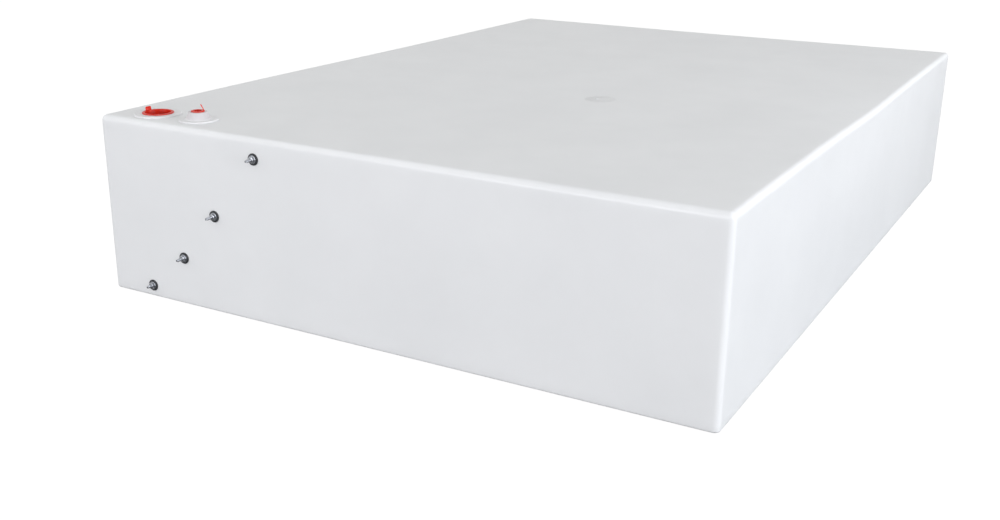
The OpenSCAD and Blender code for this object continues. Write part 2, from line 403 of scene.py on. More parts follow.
@dataclass(frozen=True)
class MilkyPolyethylene:
    """Rotomoulded natural polyethylene: cloudy, satin, faintly pebbled and a little translucent."""

    name: str = "natural_polyethylene"
    body: Colour = colour(0.865, 0.88, 0.89)
    cloud: Colour = colour(0.835, 0.85, 0.86)
    dust: Colour = colour(0.77, 0.78, 0.785)
    cloud_size: float = 0.16
    blotch_size: float = 0.03
    speck_size: float = 0.004
    pebble_size: float = 0.0016
    pebble_depth: float = 0.00003
    ripple_size: float = 0.05
    ripple_depth: float = 0.0006
    subsurface: float = 0.3
    depth: float = 0.008

    def build(self) -> bpy.types.Material:
        """Colour: clouds plus blotches. Normal: a slow ripple, then fine pebbling.

        Returns:
            The material.
        """
        s, place = new_look(self.name)
        clouds = s.noise(place, 1 / self.cloud_size, 3.0)
        blotches = s.noise(place, 1 / self.blotch_size, 4.0)
        specks = s.noise(place, 1 / self.speck_size, 2.0)
        tint = s.cover(self.body, clouds, 0.35, 0.68, self.cloud)
        tint = s.cover(tint, blotches, 0.5, 0.85, self.cloud, 0.35)
        tint = s.cover(tint, specks, 0.66, 0.85, self.dust, 0.2)
        ripple = s.bump(s.noise(place, 1 / self.ripple_size, 2.0), self.ripple_depth)
        normal = s.bump(s.noise(place, 1 / self.pebble_size, 2.0), self.pebble_depth, 1.0, ripple)
        rough = s.ramp(blotches, 0.3, 0.7, 0.3, 0.36)
        return s.close({
            "Base Color": tint, "Roughness": rough, "Normal": normal, "IOR": 1.5,
            "Subsurface Weight": self.subsurface, "Subsurface Radius": (1.0, 1.0, 1.0),
            "Subsurface Scale": self.depth,
        })


@dataclass(frozen=True)
class TurnedPolyethylene:
    """Machined and welded white polyethylene, with faint rings from the tool.

    The hub, above the flange, is painted darker and faintly pink: painted shade, with a painted glow from
    the red plug.
    """

    name: str = "white_polyethylene"
    body: Colour = colour(0.84, 0.845, 0.855)
    shade: Colour = colour(0.80, 0.805, 0.815)
    # Painted shade: the colour the hub above the flange is multiplied by, darker, with a faint painted
    # pink glow from the red plug.
    hub: Colour = colour(0.77, 0.74, 0.75)
    hub_shade_start: float = 2.2
    hub_shade_full: float = 4.0
    ring_pitch: float = 0.45
    ring_depth: float = 0.00004
    pebble_depth: float = 0.00002

    def build(self) -> bpy.types.Material:
        """Rings are a wave of the distance from the piece's axis; noise breaks them up.

        Returns:
            The material.
        """
        s, place = new_look(self.name)
        wave = s.math("SINE", s.math("MULTIPLY", s.axis_distance(), FULL_TURN / self.ring_pitch))
        clouds = s.noise(place, 90.0, 3.0)
        normal = s.bump(s.ramp(wave, -1.0, 1.0), self.ring_depth, 0.6)
        normal = s.bump(s.noise(place, 900.0, 2.0), self.pebble_depth, 1.0, normal)
        tint = s.cover(self.body, clouds, 0.35, 0.7, self.shade)
        # Painted shade: higher than the flange, the colour is multiplied by the darker, faintly pink hub
        # colour, by height alone.
        height = s.add("SeparateXYZ", {0: s.own_place()}).outputs[2]
        tint = s.cover(tint, height, self.hub_shade_start, self.hub_shade_full, s.mix(1.0, tint, self.hub, "MULTIPLY"))
        return s.close({
            "Base Color": tint, "Roughness": s.ramp(clouds, 0.3, 0.7, 0.32, 0.45),
            "Normal": normal, "IOR": 1.5, "Subsurface Weight": 0.25,
            "Subsurface Radius": (1.0, 1.0, 1.0), "Subsurface Scale": 0.004,
        })


@dataclass(frozen=True)
class RedPolyethylene:
    """Soft moulded red polyethylene: slightly glossy, with flow marks and lighter convex edges."""

    name: str = "red_polyethylene"
    body: Colour = colour(0.74, 0.028, 0.006)
    deep: Colour = colour(0.58, 0.015, 0.005)
    lighter_edge: Colour = colour(0.78, 0.055, 0.02)

    def build(self) -> bpy.types.Material:
        """Flow marks are noise; convex edges, found by pointiness, are made lighter.

        Returns:
            The material.
        """
        s, place = new_look(self.name)
        flow = s.noise(place, 160.0, 4.0, 0.6)
        edge = s.add("NewGeometry").outputs["Pointiness"]
        tint = s.cover(self.body, flow, 0.35, 0.7, self.deep)
        # Convex edges, found by pointiness, are given a lighter, more orange colour.
        tint = s.cover(tint, edge, 0.52, 0.6, self.lighter_edge, 0.5)
        normal = s.bump(s.noise(place, 1100.0, 2.0), 0.00002)
        normal = s.bump(flow, 0.00015, 0.5, normal)
        return s.close({
            "Base Color": tint, "Roughness": s.ramp(flow, 0.3, 0.7, 0.26, 0.4), "Normal": normal,
            "Specular IOR Level": 0.25, "Subsurface Weight": 0.15, "Subsurface Radius": (1.0, 0.3, 0.2),
            "Subsurface Scale": 0.002,
        })


@dataclass(frozen=True)
class BlackRubber:
    """Moulded black rubber with a dusty bloom."""

    name: str = "rubber"
    body: Colour = colour(0.018, 0.02, 0.023)
    bloom: Colour = colour(0.05, 0.054, 0.06)

    def build(self) -> bpy.types.Material:
        """Bloom is soft noise over fine grain.

        Returns:
            The material.
        """
        s, place = new_look(self.name)
        bloom = s.noise(place, 260.0, 4.0, 0.6)
        tint = s.cover(self.body, bloom, 0.45, 0.75, self.bloom)
        normal = s.bump(s.noise(place, 2600.0, 2.0), 0.00003)
        return s.close({
            "Base Color": tint, "Roughness": s.ramp(bloom, 0.3, 0.7, 0.5, 0.72), "Normal": normal,
            "IOR": 1.52,
        })


@dataclass(frozen=True)
class TurnedMetal:
    """Metal with fine rings round its own axis, crossed by scratches and dull patches."""

    name: str
    bright: Colour
    dull: Colour
    rough_low: float
    rough_high: float
    ring_pitch: float = 0.14
    ring_depth: float = 0.00001

    def build(self) -> bpy.types.Material:
        """Rings are a wave of the distance from the axis, broken by noise; scratches are thin noise.

        Returns:
            The material.
        """
        s, place = new_look(self.name)
        wander = s.noise(place, 500.0, 2.0)
        phase = s.math("ADD", s.math("MULTIPLY", s.axis_distance(), FULL_TURN / self.ring_pitch),
                       s.math("MULTIPLY", wander, 5.0))
        rings = s.ramp(s.math("SINE", phase), -1.0, 1.0)
        stretch = s.add("Mapping", {"Vector": s.own_place(), "Scale": (0.25, 6.0, 1.0),
                                    "Rotation": (0.0, 0.0, 0.6)}).outputs[0]
        scratches = s.noise(stretch, 1.4, 5.0, 0.7)
        tint = s.cover(self.bright, wander, 0.35, 0.7, self.dull)
        normal = s.bump(rings, self.ring_depth)
        normal = s.bump(scratches, 0.00002, 0.6, normal)
        return s.close({
            "Base Color": tint, "Metallic": 1.0, "Normal": normal,
            "Roughness": s.ramp(scratches, 0.3, 0.7, self.rough_low, self.rough_high),
        })


class Finish(Enum):
    """The tank's finishes."""

    NATURAL = MilkyPolyethylene()
    WHITE = TurnedPolyethylene()
    RED = RedPolyethylene()
    RUBBER = BlackRubber()
    STEEL = TurnedMetal("stainless", colour(0.67, 0.69, 0.73), colour(0.45, 0.47, 0.51), 0.19, 0.35)
    BRASS = TurnedMetal("brass", colour(0.78, 0.58, 0.27), colour(0.6, 0.43, 0.2), 0.25, 0.45)

    @cache
    def material(self) -> bpy.types.Material:
        """The finish's material, made once."""
        return self.value.build()


# ---------- pieces


def new_object(name: str, data: bpy.types.ID) -> bpy.types.Object:
    """A new object in the scene, for a mesh, a light or a camera."""
    made = bpy.data.objects.new(name, data)
    bpy.context.scene.collection.objects.link(made)
    return made


@dataclass(frozen=True)
class Piece:
    """One separate solid of the tank, and the CAD node that it stands for."""

    node: str
    body: str
    seat: Seat
    finish: Finish
    sharp: float = 38.0

    def build(self, sheets: Sequence[Surface], warp: Callable[[Array], Array] | None = None,
              ) -> bpy.types.Object:
        """Welds sheets into a closed mesh, places it and tells the frame about it.

        Points closer than the weld size become one, and cells that lose a corner become
        triangles. The signed volume, the sum of a . (b x c) / 6 over the triangles, is positive
        for a mesh that faces outwards.

        Args:
            sheets: The piece's sheets, in millimetres along its own axes.
            warp: Given placed points in millimetres, returns where they go.

        Returns:
            The new object.
        """
        whole = joined(sheets)
        keys = np.floor(whole.points / WELD_MM + 0.37).astype(np.int64)
        _, first, merged = np.unique(keys, axis=0, return_index=True, return_inverse=True)
        own = whole.points[first]
        cells = merged.reshape(-1)[whole.cells]
        kept = cells != np.roll(cells, 1, axis=1)
        kept &= ~((cells[:, 0] == cells[:, 2]) | (cells[:, 1] == cells[:, 3]))[:, None]
        kept[kept.sum(1) < 3] = False
        placed = self.seat.place(own)
        if warp is not None:
            placed = warp(placed)
        a, b, c, d = (placed[cells[:, n]] for n in range(4))
        volume = np.einsum("ij,ij->", a, np.cross(b, c) + np.cross(c, d)) / 6
        if volume < 0:
            cells, kept = cells[:, ::-1], kept[:, ::-1]
            LOG.warning("%s was inside out and has been turned", self.node)
        sides = kept.sum(1)
        corners = cells[kept]
        starts = np.concatenate([[0], np.cumsum(sides[sides > 0])[:-1]])
        mesh = bpy.data.meshes.new(self.node + "_mesh")
        mesh.vertices.add(len(placed))
        mesh.loops.add(len(corners))
        mesh.polygons.add(len(starts))
        mesh.vertices.foreach_set("co", (placed * MM).astype(np.float32).ravel())
        mesh.loops.foreach_set("vertex_index", corners.astype(np.int32))
        mesh.polygons.foreach_set("loop_start", starts.astype(np.int32))
        mesh.update(calc_edges=True)
        mesh.validate()
        place = mesh.attributes.new("own_place", "FLOAT_VECTOR", "POINT")
        place.data.foreach_set("vector", own.astype(np.float32).ravel())
        mesh.shade_smooth()
        mesh.set_sharp_from_angle(angle=math.radians(self.sharp))
        mesh.materials.append(self.finish.material())
        made = new_object(self.node + "_mesh", mesh)
        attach(made, self.body)
        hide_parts(self.node)
        LOG.info("%s: %d points, %d faces", made.name, len(placed), len(starts))
        return made


def cad_box(node: str) -> tuple[Array, Array]:
    """Lowest and highest corner of a CAD node, in millimetres."""
    low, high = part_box(node)
    return np.array(low, float) / MM, np.array(high, float) / MM


# ---------- shell


@dataclass(frozen=True)
class Hole:
    """A round hole through one face of the shell.

    The centre is (x, y) on the top, (x, z) on the front and (y, z) on the left side. The cells of
    a square of half-size reach round it give way to rings that run into the circle.
    """

    face: Facing
    centre: tuple[float, float]
    radius: float
    reach: float
    cells: int
    dish_radius: float = 0.0
    dish_depth: float = 0.0

    def lines(self, axis: int) -> Array:
        """The grid lines that cross the hole's square, along one axis of its face."""
        middle = self.centre[axis]
        return np.linspace(middle - self.reach, middle + self.reach, self.cells + 1)


@dataclass(frozen=True)
class Skin:
    """The outside or the inside of the shell's wall, as a block with rounded edges."""

    half_x: float
    half_y: float
    low: float
    high: float
    edge: float
    foot: float

    def core(self, axis: int) -> float:
        """Half-size of the flat part, inside the rounded edges."""
        return (self.half_x, self.half_y)[axis] - self.edge

    def ladder(self, heights: Array, edge_steps: int, foot_steps: int) -> tuple[Array, Array]:
        """The wall's rows from the flat of the underside to the flat of the top.

        The foot is an arc d = f - f sin t, z = f - f cos t and the top edge is an arc
        d = e - e cos t, z = high - e + e sin t, where d is the distance in from the wall's face.

        Args:
            heights: Heights of the rows on the straight wall.
            edge_steps: Straight pieces in the top edge's arc.
            foot_steps: Straight pieces in the foot's arc.

        Returns:
            The rows' distances in from the face, and their heights.
        """
        foot_turn = np.linspace(0, math.pi / 2, foot_steps + 1)
        edge_turn = np.linspace(0, math.pi / 2, edge_steps + 1)
        inset = np.concatenate([[self.edge], self.foot * (1 - np.sin(foot_turn)),
                                np.zeros(len(heights)), self.edge * (1 - np.cos(edge_turn))])
        height = np.concatenate([[self.low], self.low + self.foot * (1 - np.cos(foot_turn)),
                                 heights, self.high - self.edge * (1 - np.sin(edge_turn))])
        return inset, height

    def fence(self, x_lines: Array, y_lines: Array, corner_steps: int) -> tuple[Array, Array]:
        """The wall's columns, anticlockwise from the front left corner as seen from above.

        A column is a point c on the core's outline and a way out n. The corner columns share the
        core's corner and turn n from one side to the next.

        Args:
            x_lines: The columns of the front and back.
            y_lines: The columns of the two sides.
            corner_steps: Straight pieces round each upright edge.

        Returns:
            The points c and the ways out n, each (columns, 2).
        """
        x, y = self.core(0), self.core(1)
        sides = [(x_lines, np.full_like(x_lines, -y)), (np.full_like(y_lines, x), y_lines),
                 (x_lines[::-1], np.full_like(x_lines, y)), (np.full_like(y_lines, -x), y_lines[::-1])]
        corners = [(x, -y), (x, y), (-x, y), (-x, -y)]
        cores, ways = [], []
        for number, (side, corner) in enumerate(zip(sides, corners, strict=True)):
            facing = (number - 1) * math.pi / 2
            turn = facing + np.linspace(0, math.pi / 2, corner_steps + 1)[1:-1]
            cores += [np.stack(side, -1), np.tile(corner, (len(turn), 1))]
            ways += [np.tile([math.cos(facing), math.sin(facing)], (len(side[0]), 1)),
                     np.stack([np.cos(turn), np.sin(turn)], -1)]
        return np.concatenate(cores), np.concatenate(ways)


@dataclass
class TankShell:
    """The rotomoulded shell: one wall with an outside, an inside and the holes between them."""

    top_flat: float
    holes: dict[str, Hole]
    wall: float = WALL
    edge: float = 8.0
    foot: float = 3.2
    inner_edge: float = 4.0
    inner_foot: float = 3.0
    spacing: float = 26.0
    support: float = 2.5
    edge_steps: int = 8
    foot_steps: int = 5
    patch_rings: int = 3
    bowl: float = 1.6
    wave: float = 0.5
    dip: float = 3.2
    right_swell: float = 1.4
    front_swell: float = 0.8
    box: tuple[Array, Array] = field(init=False)

    def __post_init__(self) -> None:
        """Reads the shell's size from the CAD."""
        self.box = cad_box("tank_shell")

    def skin(self, inner: bool) -> Skin:
        """The outside of the wall, or its inside."""
        half = (self.box[1] - self.box[0])[:2] / 2
        inset = self.wall if inner else 0.0
        return Skin(half[0] - inset, half[1] - inset, inset, self.top_flat - inset,
                    self.inner_edge if inner else self.edge, self.inner_foot if inner else self.foot)

    def lines(self, low: float, high: float, own: Sequence[Array]) -> Array:
        """Lines between two ends: the holes' own, and evenly spaced ones where there are none.

        Args:
            low: The first end, which isn't included.
            high: The other end, which isn't included.
            own: The lines that each hole needs.

        Returns:
            The lines in rising order.
        """
        ends = [low + self.support, high - self.support]
        needed = np.unique(np.round(np.concatenate([*own, ends]), 6))
        spare = np.linspace(low, high, max(int((high - low) / self.spacing), 2) + 1)[1:-1]
        gap = np.abs(spare[:, None] - needed[None, :]).min(1)
        return np.sort(np.concatenate([needed, spare[gap > self.spacing / 3]]))

    def patch(self, hole: Hole, skin: Skin, across: Array, up: Array, inner: bool,
              ) -> tuple[Surface, Array]:
        """Rings from the edge of a hole's square into its circle.

        The square's edge points keep their angles, and ring k of n lies at
        p = (1 - k / n) edge + (k / n) circle. A dish adds a step down between two more circles.

        Args:
            hole: The hole.
            skin: The side of the wall.
            across: Grid lines along the face's first axis.
            up: Grid lines along its second axis.
            inner: The patch is on the inside of the wall.

        Returns:
            The rings, and the points of the hole's circle.
        """
        u, v = (axis[np.abs(axis - c) < hole.reach + SLACK]
                for axis, c in zip((across, up), hole.centre, strict=True))
        sides = ((u[:-1], v[0]), (u[-1], v[:-1]), (u[:0:-1], v[-1]), (u[0], v[:0:-1]))
        edge = np.concatenate([np.stack(np.broadcast_arrays(*side), -1) for side in sides])
        offset = edge - np.array(hole.centre)
        way = offset / np.linalg.norm(offset, axis=1, keepdims=True)
        dished = hole.dish_radius > 0 and not inner
        rim = hole.dish_radius if dished else hole.radius
        share = np.linspace(0, 1, self.patch_rings + 1)[:, None, None]
        flat = (1 - share) * edge + share * (np.array(hole.centre) + rim * way)
        depth = np.zeros(len(flat))
        if dished:
            radii = (rim - 0.03, rim - 0.06, (rim + hole.radius) / 2, hole.radius)
            flat = np.concatenate([flat, [np.array(hole.centre) + radius * way for radius in radii]])
            depth = np.concatenate([depth, hole.dish_depth * np.array([0.5, 1.0, 1.0, 1.0])])
        depth = np.broadcast_to(depth[:, None], flat.shape[:2])
        if hole.face is Facing.UP:
            points = np.stack([flat[..., 0], flat[..., 1], skin.high - depth], -1)
        elif hole.face is Facing.FRONT:
            points = np.stack([flat[..., 0], depth - skin.half_y, flat[..., 1]], -1)
        else:
            points = np.stack([depth - skin.half_x, flat[..., 0], flat[..., 1]], -1)
        made = sheet_of(points, round_columns=True)
        return (made.flipped() if hole.face is Facing.LEFT else made), points[-1]

    def grid(self, skin: Skin, x_lines: Array, y_lines: Array, heights: Array, inner: bool,
             ) -> tuple[list[Surface], dict[str, Array]]:
        """One side of the wall: the wall band, the top, the underside and the holes' patches.

        A band point is c + (edge - d) n at its row's height, so all its points come from two
        outer sums of the rows and the columns.

        Args:
            skin: The side of the wall.
            x_lines: Grid lines along x, inside the core.
            y_lines: Grid lines along y, inside the core.
            heights: Rows on the straight wall.
            inner: This is the inside.

        Returns:
            The sheets facing away from the block's middle, and each hole's circle by name.
        """
        x = np.concatenate([[-skin.core(0)], x_lines, [skin.core(0)]])
        y = np.concatenate([[-skin.core(1)], y_lines, [skin.core(1)]])
        inset, height = skin.ladder(heights, self.edge_steps, self.foot_steps)
        core, way = skin.fence(x, y, self.edge_steps)
        plan = core[None] + (skin.edge - inset)[:, None, None] * way[None]
        wall = np.concatenate([plan, np.broadcast_to(height[:, None, None], (*plan.shape[:2], 1))], -1)
        wall_cells = cells_of(*wall.shape[:2], round_columns=True)
        top_cells = cells_of(len(y), len(x))
        floor_cells = top_cells.copy()
        rings, circles = [], {}
        left_start = len(x) * 2 + len(y) + (self.edge_steps - 1) * 3
        for name, hole in self.holes.items():
            across = y if hole.face is Facing.LEFT else x
            up = y if hole.face is Facing.UP else height
            inside = [(axis[:-1] > c - hole.reach - SLACK) & (axis[1:] < c + hole.reach + SLACK)
                      for axis, c in zip((across, up), hole.centre, strict=True)]
            if hole.face is Facing.UP:
                top_cells[np.ix_(inside[1], inside[0])] = 0
            elif hole.face is Facing.FRONT:
                wall_cells[np.ix_(inside[1], np.flatnonzero(inside[0]))] = 0
            else:
                columns = left_start + len(y) - 2 - np.flatnonzero(inside[0])
                wall_cells[np.ix_(inside[1], columns)] = 0
            made, circles[name] = self.patch(hole, skin, across, up, inner)
            rings.append(made)
        grids = [(wall, wall_cells), (np.stack(np.meshgrid(x, y, [skin.high]), -1), top_cells),
                 (np.stack(np.meshgrid(x, y, [skin.low]), -1), floor_cells[..., ::-1])]
        return [Surface(p.reshape(-1, 3), c.reshape(-1, 4)) for p, c in grids] + rings, circles

    def warp(self, points: Array) -> Array:
        """Pulls the moulded wall a little out of true, away from the base, ports and probes.

        The top sinks by a broad bowl and a few long waves, and its right edge dips in one place.
        Every term is multiplied by masks that are zero near the fittings and the underside.

        Args:
            points: Points of the shell.

        Returns:
            The points, moved by a few millimetres at most.
        """
        x, y, z = points.T
        half_x, half_y = (self.box[1] - self.box[0])[:2] / 2
        u, v = x / half_x, y / half_y
        near_port = hill(x, -350, 120) * hill(y, -590, 90)
        high = smoothstep(z, 0.45 * self.top_flat, self.top_flat)
        bowl = -self.bowl * (1 - u**2) * (1 - v**2)
        waves = self.wave * np.sin(3.1 * u + 1.7) * np.sin(4.3 * v + 0.6)
        dip = -self.dip * hill(y, 5, 190) * hill(x, half_x, 40)
        lift = high * (1 - near_port) * (bowl + waves + dip)
        side = smoothstep(z, 15, 120) * smoothstep(-z, -245, -150)
        swell = self.right_swell * side * hill(y, 60, 330) * smoothstep(u, 0.8, 1.0)
        front = self.front_swell * side * hill(x, 160, 210) * smoothstep(-v, 0.9, 1.0)
        return points + np.stack([swell, -front, lift], -1)

    def build(self) -> None:
        """Makes both sides of the wall, joins their holes and hands in the mesh."""
        inner = self.skin(inner=True)
        top, front, left = ([h for h in self.holes.values() if h.face is face]
                            for face in (Facing.UP, Facing.FRONT, Facing.LEFT))
        x_lines = self.lines(-inner.core(0), inner.core(0), [h.lines(0) for h in top + front])
        y_lines = self.lines(-inner.core(1), inner.core(1),
                             [h.lines(1) for h in top] + [h.lines(0) for h in left])
        heights = self.lines(inner.low + inner.foot, inner.high - inner.edge,
                             [h.lines(1) for h in front + left])
        outside, outer_rims = self.grid(self.skin(inner=False), x_lines, y_lines, heights, False)
        inside, inner_rims = self.grid(inner, x_lines, y_lines, heights, True)
        rims = []
        for name, hole in self.holes.items():
            rim = sheet_of(np.stack([outer_rims[name], inner_rims[name]]), round_columns=True)
            rims.append(rim.flipped() if hole.face is Facing.LEFT else rim)
        piece = Piece("tank_shell", "tank", WORLD, Finish.NATURAL)
        piece.build([*outside, *(s.flipped() for s in inside), *rims], self.warp)


# ---------- ports


@dataclass(frozen=True)
class PortFitting:
    """A weld-in fitting: a flange on the wall, a sleeve through it, a pipe thread and a weld bead."""

    node: str
    facing: Facing
    bore: float
    pitch: float
    flange_t: float = 2.0
    hub: float = 0.0
    taper: float = 0.0
    sleeve_wall: float = 5.5
    depth: float = 24.0
    thread_share: float = 0.55
    bead: float = 0.55
    columns: int = 72

    def seat(self) -> Seat:
        """The centre of the port on the outside of the wall, from the CAD's box."""
        low, high = cad_box(self.node)
        middle = (low + high) / 2
        out = self.flange_t + self.hub
        if self.facing is Facing.UP:
            return Seat((middle[0], middle[1], high[2] - out), self.facing)
        return Seat((low[0] + out, middle[1], middle[2]), self.facing)

    def flange_radius(self) -> float:
        """Half of the flange's width, from the CAD's box."""
        low, high = cad_box(self.node)
        return float(high[1] - low[1]) / 2

    def build(self) -> None:
        """Turns the outside, cuts the thread and lays the weld bead."""
        flange, sleeve = self.flange_radius(), self.bore / 2 + self.sleeve_wall
        deep = self.thread_share * self.pitch
        mouth = self.bore / 2 + deep + 0.05
        top = self.flange_t + self.hub
        corners = [(mouth, -self.depth, 0), (sleeve, -self.depth, 0.6), (sleeve, 0, 0.3),
                   (flange, 0, 0.2), (flange, self.flange_t, 0.9)]
        if self.hub:
            corners += [(sleeve + self.taper, self.flange_t, 3.5), (sleeve, top, 0.8)]
        corners.append((mouth, top, 0))
        outside = lathe(filleted(corners), turn_angles(self.columns), closed=False)
        thread = Thread(self.bore / 2, self.bore / 2 + deep, mouth, self.pitch, -self.depth, top,
                        deep, self.columns)
        Piece(self.node, "tank", self.seat(), Finish.WHITE).build(
            [outside, thread.sheet().flipped(), self.weld(flange)])

    def weld(self, flange: float) -> Surface:
        """The bead of melted plastic round the flange: a ring whose thickness wanders.

        Its section is a circle of radius b (1 + 0.3 w) at distance flange + 0.1 b w from the axis,
        where w is a sum of three sines of the angle.

        Args:
            flange: Radius of the flange.

        Returns:
            A closed ring.
        """
        turn = turn_angles(10)
        section = np.stack([flange + self.bead * np.cos(turn), 0.1 + self.bead * np.sin(turn)], -1)

        def wander(radius: Array, angle: Array, height: Array) -> tuple[Array, Array]:
            """Grows and shrinks the section round the ring."""
            w = (np.sin(3 * angle + 0.7) + np.sin(7 * angle + 2.1) + np.sin(13 * angle)) / 3
            grown = 1 + 0.3 * w
            return flange + 0.1 * w + (radius - flange) * grown, height * grown

        return lathe(section, turn_angles(144), swell=wander)


@dataclass(frozen=True)
class PullTab:
    """A flat moulded tab on a plug's rim, with round corners and a thicker grip at its tip."""

    width: float
    length: float
    angle: float
    lean: float
    thickness: float = 1.2
    sunk: float = 0.5
    corner: float = 2.2
    grip: float = 0.35
    root: float = 0.5
    blend: float = 0.9

    def sheet(self, rim: float, height: float) -> Surface:
        """A section carried along the tab.

        Along the tab, s goes from the root inside the flange to the tip. The section is a
        superellipse |x / a|^4 + |y / b|^2.5 = 1 of half-width b(s) and half-thickness a(s). The
        half-width pulls in along the corner's arc at the tip, and the half-thickness closes to
        zero over the last of the length at both ends.

        Args:
            rim: Radius of the plug's flange.
            height: Height of the root.

        Returns:
            A closed sheet.
        """
        nose = np.sin(np.linspace(0, math.pi / 2, 9))
        s = np.concatenate([-self.sunk * nose[::-1], np.linspace(0, self.length - self.corner, 12)[1:],
                            self.length - self.corner + self.corner * nose[1:]])
        past = np.clip((s - (self.length - self.corner)) / self.corner, 0, 1)
        half_width = self.width / 2 - self.corner * (1 - np.sqrt(1 - past**2))
        opening = np.clip((s + self.sunk) / self.sunk, 0, 1)
        closing = np.clip((self.length - s) / (self.thickness / 2), 0, 1)
        half_thick = self.thickness / 2 * np.sqrt(1 - (1 - closing) ** 2) * np.sqrt(1 - (1 - opening) ** 2)
        half_thick *= 1 + self.grip * hill(s, 0.82 * self.length, self.blend)
        half_thick *= 1 + self.root * hill(s, 0, self.blend)
        turn = turn_angles(24)
        cos, sin = np.cos(turn), np.sin(turn)
        across = np.sign(cos) * np.abs(cos) ** 0.5
        along = np.sign(sin) * np.abs(sin) ** 0.8
        x = -self.thickness / 2 + half_thick[:, None] * across
        y = half_width[:, None] * along
        z = np.broadcast_to(s[:, None], x.shape)
        lean, angle = math.radians(self.lean), math.radians(self.angle)
        x, z = x * math.cos(lean) - z * math.sin(lean), x * math.sin(lean) + z * math.cos(lean)
        x = x + rim
        grid = np.stack([x * math.cos(angle) - y * math.sin(angle),
                         x * math.sin(angle) + y * math.cos(angle), z + height], -1)
        return sheet_of(grid, round_columns=True)


@dataclass(frozen=True)
class PushPlug:
    """A hollow red plug: a tapered ribbed stem, a round flange and a pull tab."""

    node: str
    port: PortFitting
    lip: float
    depth: float
    tab: PullTab
    notch: float = 0.0
    notch_angle: float = -65.0
    flange_t: float = 1.3
    wall: float = 1.4
    taper: float = 0.6
    clearance: float = 0.3
    rib: float = 0.18
    rib_reach: float = 0.35
    rib_levels: tuple[float, ...] = (0.72, 0.5, 0.28)
    pip: float = 0.5

    def angles(self, rim: float) -> Array:
        """Even angles round the rim, with more of them across the notch."""
        even = turn_angles(96)
        if not self.notch:
            return even
        middle = math.radians(self.notch_angle) % FULL_TURN
        reach = math.asin(self.notch / rim)
        fine = middle + reach * np.sin(np.linspace(-math.pi / 2, math.pi / 2, 17))
        gap = np.abs((even - middle + math.pi) % FULL_TURN - math.pi)
        return np.sort(np.concatenate([even[gap > reach + 0.01], fine]))

    def build(self) -> None:
        """Turns the plug's profile, cuts the notch by holding the radius in, and adds the tab."""
        rim = self.port.bore / 2 + self.lip
        stem = self.port.bore / 2 - self.clearance
        cup = stem - self.wall
        floor = self.wall - self.depth
        corners = [(0, -self.depth, 0), (stem - self.taper, -self.depth, 0.5)]
        for level in self.rib_levels:
            here, middle = stem - self.taper * level, -self.depth * level
            corners += [(here, middle - self.rib_reach, 0), (here + self.rib, middle, 0),
                        (here, middle + self.rib_reach, 0)]
        corners += [(stem, 0, 0.15), (rim, 0, 0.35), (rim, self.flange_t, 0.55),
                    (cup, self.flange_t, 0.5), (cup - self.taper, floor, 0.8), (1.6, floor, 0),
                    (1.2, floor + self.pip, 0.2), (0, floor + self.pip, 0)]
        middle = math.radians(self.notch_angle)

        def notched(radius: Array, angle: Array, height: Array) -> tuple[Array, Array]:
            """Holds the radius inside R cos d - sqrt(n^2 - R^2 sin^2 d) across the notch."""
            if not self.notch:
                return radius, height
            off = (angle - middle + math.pi) % FULL_TURN - math.pi
            inside = self.notch**2 - (rim * np.sin(off)) ** 2
            limit = rim * np.cos(off) - np.sqrt(np.maximum(inside, 0))
            cut = (inside > 0) & (np.abs(off) < 1) & (radius > stem - self.taper)
            return np.where(cut, np.minimum(radius, limit), radius), height

        cup_body = lathe(filleted(corners), self.angles(rim), closed=False, swell=notched)
        tab = self.tab.sheet(rim, self.flange_t / 2)
        seat = self.port.seat()
        out = self.port.flange_t + self.port.hub
        Piece(self.node, self.node, seat, Finish.RED).build(
            [cup_body.moved((0, 0, out)), tab.moved((0, 0, out))])


@dataclass(frozen=True)
class MouldVentPlug:
    """The disc welded over the mould's vent hole, with its shank and moulding nub."""

    hole: Hole
    wall: float = WALL
    gap: float = 0.1
    disc_t: float = 0.95
    nub_radius: float = 3.0
    nub_offset: float = 6.0
    nub_height: float = 1.6
    nub_draft: float = 0.93

    def build(self, warp: Callable[[Array], Array]) -> None:
        """Turns the disc with its shank, and a domed nub off its centre, and sinks them with the wall."""
        disc, shank = self.hole.dish_radius - self.gap, self.hole.radius - self.gap
        sunk = self.hole.dish_depth
        low, high = cad_box("mould_vent_plug")
        seat = Seat((*self.hole.centre, high[2] - self.nub_height + sunk), Facing.UP)
        face, tip = self.disc_t - sunk, self.nub_height - sunk
        body = [(0, -self.wall, 0), (shank, -self.wall, 0.4), (shank, -sunk, 0), (disc, -sunk, 0.1),
                (disc, face, 0.25), (0, face, 0)]
        nub = [(0, -sunk, 0), (self.nub_radius, -sunk, 0), (self.nub_radius * self.nub_draft, tip, 0.5),
               (0, tip, 0)]
        sheets = [lathe(filleted(body), turn_angles(96), closed=False),
                  lathe(filleted(nub), turn_angles(40), closed=False).moved((-self.nub_offset, 0, 0))]
        Piece("mould_vent_plug", "tank", seat, Finish.NATURAL).build(sheets, warp)


# ---------- level probes


